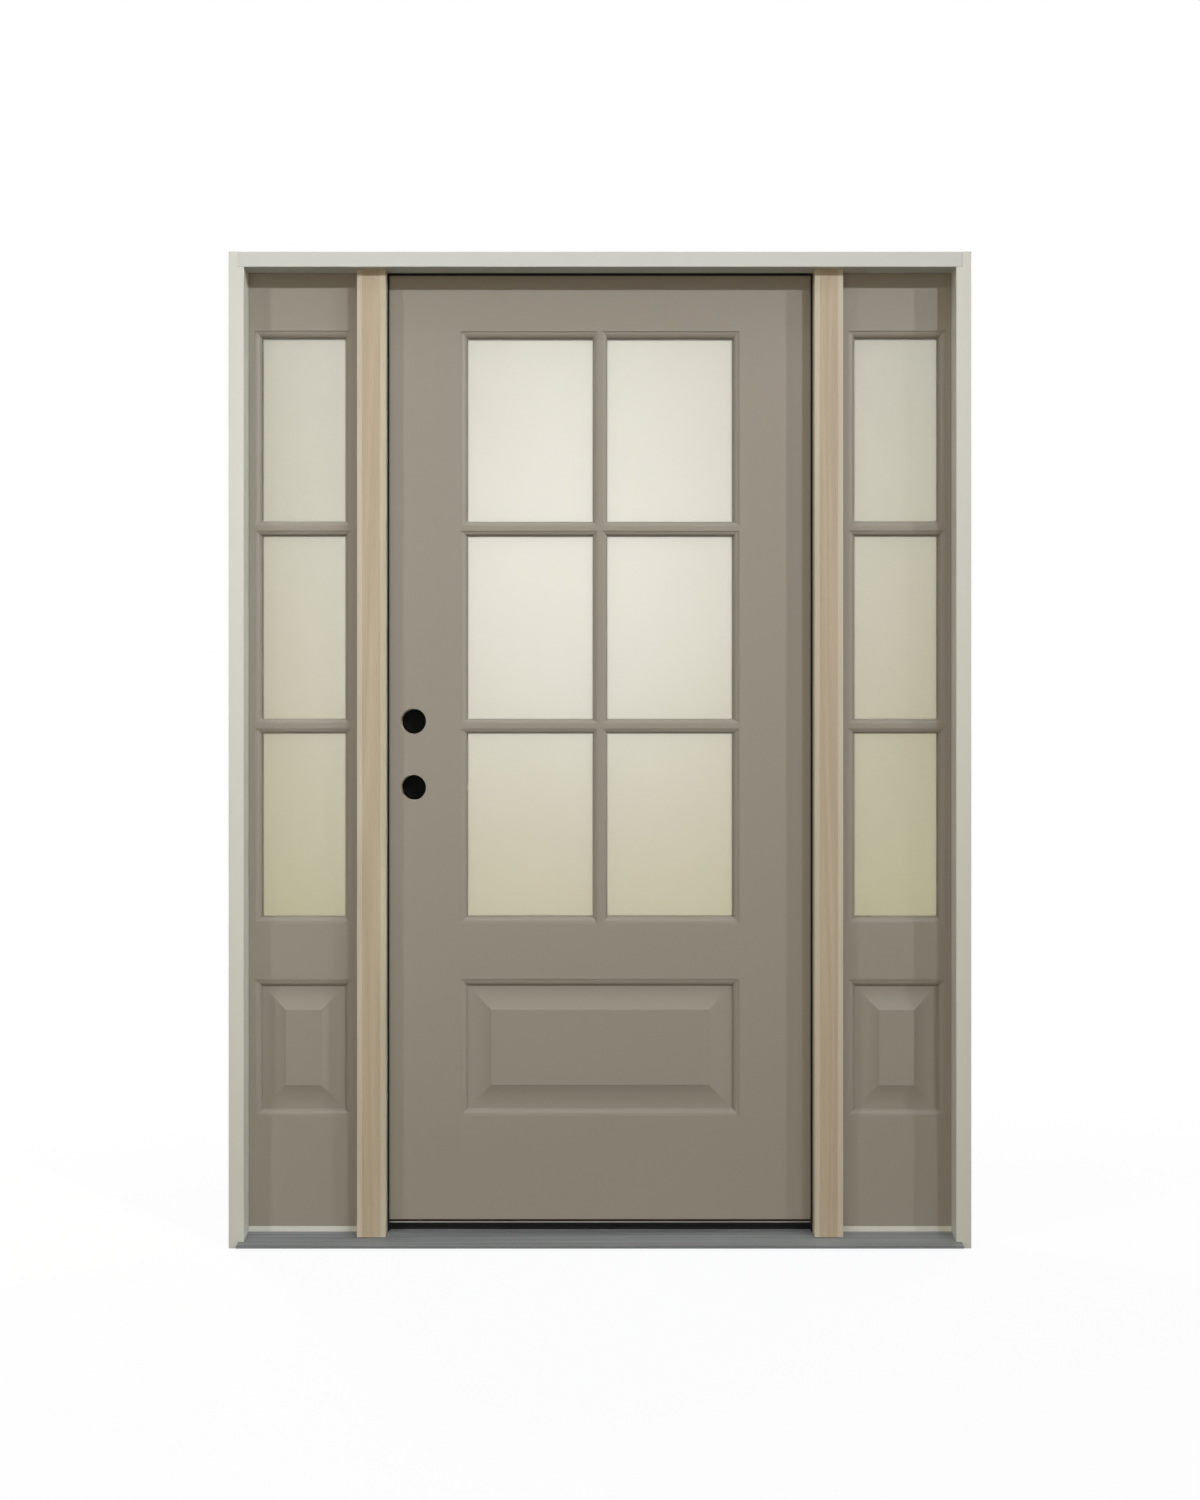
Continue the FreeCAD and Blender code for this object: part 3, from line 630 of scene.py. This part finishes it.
# %% [markdown]
# Both lock bores show black inside, as deep holes in shade do, so each gets a black disc at its inner
# end: a dark sheet put where there is only shade, as painted shade. The disc is shaped like a turned
# cover: a circle of vertices is filled and extruded towards the outside, one inset marks off its rim,
# and a second one sinks the middle to a shallow dish.

# %% Bore shade discs
SHADE_DISC_THICKNESS = 2.4 * MM
SHADE_DISC_PLAY = 0.25 * MM
SHADE_DISC_SET_BACK = 0.3 * MM
SHADE_DISC_SIDES = 48
SHADE_DISC_RIM = 2.5 * MM
DISH_WALL = 0.6 * MM
DISH_DEPTH = 1.2 * MM
leaf_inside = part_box("lock_stile")[1].y
facing_out = Matrix.Rotation(math.radians(90), 4, "X")


def bore_shade_discs(shape):
    for bore in lock_bores:
        radius = bore["dims"]["r_mm"] * MM - SHADE_DISC_PLAY
        x, _, z = bore["pos_m"]
        place = Matrix.Translation((x, leaf_inside - SHADE_DISC_SET_BACK, z)) @ facing_out
        made = bmesh.ops.create_circle(
            shape, cap_ends=True, segments=SHADE_DISC_SIDES, radius=radius, matrix=place
        )
        disc = made["verts"][0].link_faces[0]
        rise = place.to_3x3() @ Vector((0.0, 0.0, SHADE_DISC_THICKNESS))
        cap = raise_faces(shape, [disc], rise)
        bmesh.ops.inset_region(shape, faces=cap, thickness=SHADE_DISC_RIM, depth=0.0)
        bmesh.ops.inset_region(shape, faces=cap, thickness=DISH_WALL, depth=-DISH_DEPTH)


# Painted shade: near-black discs that darken the bores.
SHADE_DISC_BLACK = (0.003, 0.0045, 0.0042)
bore_painted_shade = extruded("bore_painted_shade", SHADE_DISC_BLACK, roughness=0.7, along=ALONG_Z)
shade_discs = finished_piece("lock_bore_shade_discs", bore_shade_discs, bore_painted_shade, "door_leaf")
print("bore covers:", len(shade_discs.data.polygons), "faces")

# %% [markdown]
# Each hinge leaf is held by four countersunk screws. They only show when the leaf is open, on the edge
# of the door and on the post. A head is a small disc with a recess for the driver, four of its twelve
# sectors pushed in.

# %% Hinge screws
SCREW_RADIUS = 4.2 * MM
SCREW_PROUD = 0.25 * MM
SCREW_RECESS = 0.5 * MM
RECESS_MARGIN = 0.45 * MM
SCREW_SIDES = 12
RECESS_ARMS = 4
SCREW_ROWS = (-36.0 * MM, -12.0 * MM, 12.0 * MM, 36.0 * MM)
SCREW_STAGGER = 7.0 * MM
SCREW_INSET = 17.0 * MM
HINGE_TALL = 101.6 * MM
leaf_low, leaf_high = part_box("hinge_door_leaves")
screw_line = leaf_low.y + SCREW_INSET
hinge_centres = (
    leaf_low.z + HINGE_TALL / 2,
    (leaf_low.z + leaf_high.z) / 2,
    leaf_high.z - HINGE_TALL / 2,
)


def sector_angle(face, place):
    spot = place.inverted() @ face.calc_center_median()
    return math.atan2(spot.y, spot.x)


def screw_head(shape, place):
    made = bmesh.ops.create_circle(
        shape, cap_ends=True, cap_tris=True, segments=SCREW_SIDES, radius=SCREW_RADIUS, matrix=place
    )
    faces = list(dict.fromkeys(face for vertex in made["verts"] for face in vertex.link_faces))
    rise = place.to_3x3() @ Vector((0.0, 0.0, SCREW_PROUD))
    sectors = sorted(raise_faces(shape, faces, rise), key=lambda face: sector_angle(face, place))
    for sector in sectors[:: SCREW_SIDES // RECESS_ARMS]:
        bmesh.ops.inset_individual(
            shape, faces=[sector], thickness=RECESS_MARGIN, depth=-SCREW_RECESS, use_even_offset=True
        )


def screws_on(face_x, outward):
    def make(shape):
        turn = Matrix.Rotation(math.radians(90) * outward, 4, "Y")
        for centre in hinge_centres:
            for i, row in enumerate(SCREW_ROWS):
                depth = screw_line + (SCREW_STAGGER if i % 2 else -SCREW_STAGGER)
                screw_head(shape, Matrix.Translation((face_x, depth, centre + row)) @ turn)

    return make


door_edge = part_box("hinge_stile")[1].x
post_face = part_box("right_post")[0].x
on_door = screws_on(door_edge, 1)
on_post = screws_on(post_face, -1)
door_screws = finished_piece("hinge_screws_door", on_door, hinge_metal, "door_leaf")
post_screws = finished_piece("hinge_screws_post", on_post, hinge_metal, "frame")
print("faces on the screws:", len(door_screws.data.polygons), len(post_screws.data.polygons))

# %% [markdown]
# The stage is one large plain floor.

# %% Floor
FLOOR_SIZE = 16.0
floor_mesh = bpy.data.meshes.new("floor")
floor_shape = bmesh.new()
bmesh.ops.create_grid(floor_shape, x_segments=1, y_segments=1, size=FLOOR_SIZE / 2)
floor_shape.to_mesh(floor_mesh)
floor_shape.free()
floor = bpy.data.objects.new("floor", floor_mesh)
scene.collection.objects.link(floor)
print("floor:", FLOOR_SIZE, "metres square")

# %% [markdown]
# The photograph has no floor to speak of: white, with a breath of shadow under the sill. So the floor
# adds a pale glow to what the lamps put on it, and further off it fades to plain white. Only rays that
# look at it, straight, in a mirror or through glass, see that glow. Light Path tells them apart, and
# to the light that falls on the door the floor stays dark.


# %% Finish: pale floor
def seen_directly(tree):
    path = add(tree, "ShaderNodeLightPath").outputs
    seen = math_node(tree, "MAXIMUM", path["Is Camera Ray"], path["Is Glossy Ray"])
    return math_node(tree, "MAXIMUM", seen, path["Is Transmission Ray"])


FLOOR_BASE = (0.13, 0.11, 0.085, 1.0)
FLOOR_ROUGHNESS = 0.9
FLOOR_LIFT = 0.93
FLOOR_COOL = (0.96, 0.98, 1.0, 1.0)
WHITE_FROM = 1.1
WHITE_TO = 2.6
floor_finish, floor_tree, floor_shader, floor_place = new_finish("pale_floor")
floor_shader.inputs["Base Color"].default_value = FLOOR_BASE
floor_shader.inputs["Roughness"].default_value = FLOOR_ROUGHNESS
floor_shader.inputs["Specular IOR Level"].default_value = 0.0
floor_seen = seen_directly(floor_tree)
glow_strength = math_node(floor_tree, "MULTIPLY", floor_seen, FLOOR_LIFT)
lift = add(floor_tree, "ShaderNodeEmission", {"Color": FLOOR_COOL, "Strength": glow_strength})
near = add(floor_tree, "ShaderNodeAddShader", {0: floor_shader.outputs[0], 1: lift.outputs[0]})
floor_reach = vector_node(floor_tree, "LENGTH", {0: floor_place})["Value"]
far_off = spread(floor_tree, floor_reach, 0.0, 1.0, WHITE_FROM, WHITE_TO)
white_share = math_node(floor_tree, "MULTIPLY", floor_seen, far_off)
white = add(floor_tree, "ShaderNodeEmission")
faded = add(
    floor_tree, "ShaderNodeMixShader", {0: white_share, 1: near.outputs[0], 2: white.outputs[0]}
)
floor_tree.links.new(faded.outputs[0], floor_tree.nodes["Material Output"].inputs["Surface"])
floor_mesh.materials.append(floor_finish)
print("floor finish:", floor_finish.name)

# %% [markdown]
# The surround works the same way. Camera, mirror and glass rays see plain white, which is the
# photograph's background, while the light that falls on the door from all round is warm and much
# weaker.

# %% Surround
AMBIENT = 0.28
WARM_ROOM = (1.0, 0.870, 0.670, 1.0)
PLAIN_WHITE = (1.0, 1.0, 1.0, 1.0)
world = bpy.data.worlds.new("surround")
scene.world = world
world.use_nodes = True
sky = world.node_tree
backdrop = sky.nodes["Background"]
sky_seen = seen_directly(sky)
sky.links.new(blend_colours(sky, sky_seen, WARM_ROOM, PLAIN_WHITE), backdrop.inputs["Color"])
sky.links.new(spread(sky, sky_seen, AMBIENT, 1.0), backdrop.inputs["Strength"])
print("surround:", world.name, "at", AMBIENT)

# %% [markdown]
# The lamps follow the shadows in the photograph. Three small hard ones stand high and far off: the key
# at the right draws the crisp shadow of the head and the strongest step beside each post, and one at
# the left and one at the far right draw the fainter steps. A disc overhead cools the top of the unit,
# and a large warm disc in front fills the shadows. That one is hidden from mirror and glass rays, so
# that it doesn't show as a bright spot in the panes. Two large lamps behind light the inner side.


# %% Lamps
def lamp(name, place, aim, size, watts, colour=(1.0, 1.0, 1.0), beam=180.0):
    data = bpy.data.lights.new(name, "AREA")
    data.shape = "DISK"
    data.size = size
    data.energy = watts
    data.color = colour
    data.spread = math.radians(beam)
    made = bpy.data.objects.new(name, data)
    made.location = place
    made.rotation_euler = (Vector(aim) - Vector(place)).to_track_quat("-Z", "Y").to_euler()
    scene.collection.objects.link(made)
    return made


MIDDLE = (0.0, 0.0, 1.1)
COOL_KEY = (0.84, 0.91, 1.0)
COOL_TOP = (0.825, 0.90, 1.0)
WARM_FILL = (1.0, 0.843, 0.62)
lamp("key_right", (4.1, -7.3, 5.5), (-0.9, 0.0, 1.5), size=0.18, watts=17.8, colour=COOL_KEY, beam=44.0)
lamp("key_left", (-6.6, -8.0, 5.9), (-0.95, 0.0, 1.5), size=0.18, watts=6.4, beam=30.0)
lamp("far_right", (8.0, -6.0, 5.0), (0.0, 0.0, 1.35), size=0.3, watts=7.2, beam=30.0)
lamp("overhead", (-0.7, -1.7, 5.0), MIDDLE, size=1.2, watts=25.0, colour=COOL_TOP)
fill = lamp("front_fill", (-0.8, -6.0, 1.5), (-0.3, 0.0, 1.1), size=2.4, watts=53.0, colour=WARM_FILL)
fill.visible_glossy = False
fill.visible_transmission = False
lamp("back_left", (-2.6, 4.0, 3.4), MIDDLE, size=1.6, watts=90.0)
lamp("back_right", (3.0, 4.2, 3.0), MIDDLE, size=1.6, watts=60.0)
